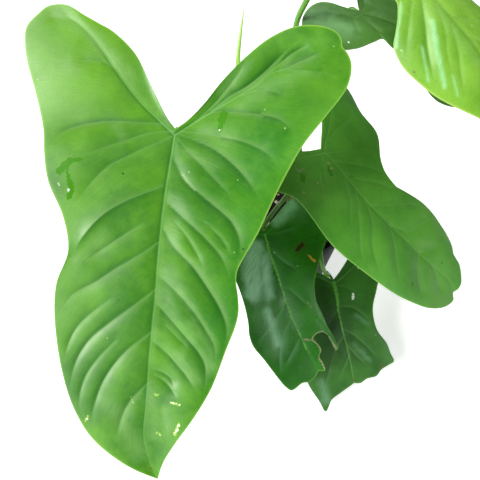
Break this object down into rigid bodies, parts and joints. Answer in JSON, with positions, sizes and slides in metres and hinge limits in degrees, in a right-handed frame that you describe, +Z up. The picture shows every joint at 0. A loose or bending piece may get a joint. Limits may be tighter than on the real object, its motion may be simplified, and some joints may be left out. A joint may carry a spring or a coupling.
{
  "type": "potted philodendron",
  "caption": "Potted philodendron with large heart-shaped lobed leaves on slim stalks, growing from soil in a round tapered nursery pot.",
  "frame": {"origin": "middle of the pot's flat underside", "axes": "+Z up; -Y to the plant's front, where its largest leaf hangs; +X to its right as seen from the front"},
  "size_m": [0.3749, 0.3985, 0.3608],
  "materials": {
    "pot": "moulded satin plastic",
    "soil": "moist peat with pale pumice grains",
    "stem": "green skin ringed by leaf scars",
    "stalk": "smooth waxy skin",
    "new_growth": "smooth, pale lime",
    "blade_front": "satin leaf with sunken veins",
    "blade_right": "satin leaf with sunken veins",
    "blade_low_left": "glossy leaf, brown along its bay",
    "blade_low_right": "satin leaf with a pale midrib",
    "blade_back": "satin leaf with sunken veins",
    "blade_young": "glossy lime leaf"
  },
  "bodies": {
    "root": {"nursery_pot": "pot", "potting_soil": "soil", "stem": "stem", "new_leaf": "new_growth", "leaf_front": "blade_front", "leaf_right": "blade_right", "leaf_low_left": "blade_low_left", "leaf_low_right": "blade_low_right", "leaf_back": "blade_back", "leaf_young": "blade_young", "stalk_front": "stalk", "stalk_right": "stalk", "stalk_low_left": "stalk", "stalk_low_right": "stalk", "stalk_back": "stalk", "stalk_young": "stalk"}
  },
  "joints": []
}
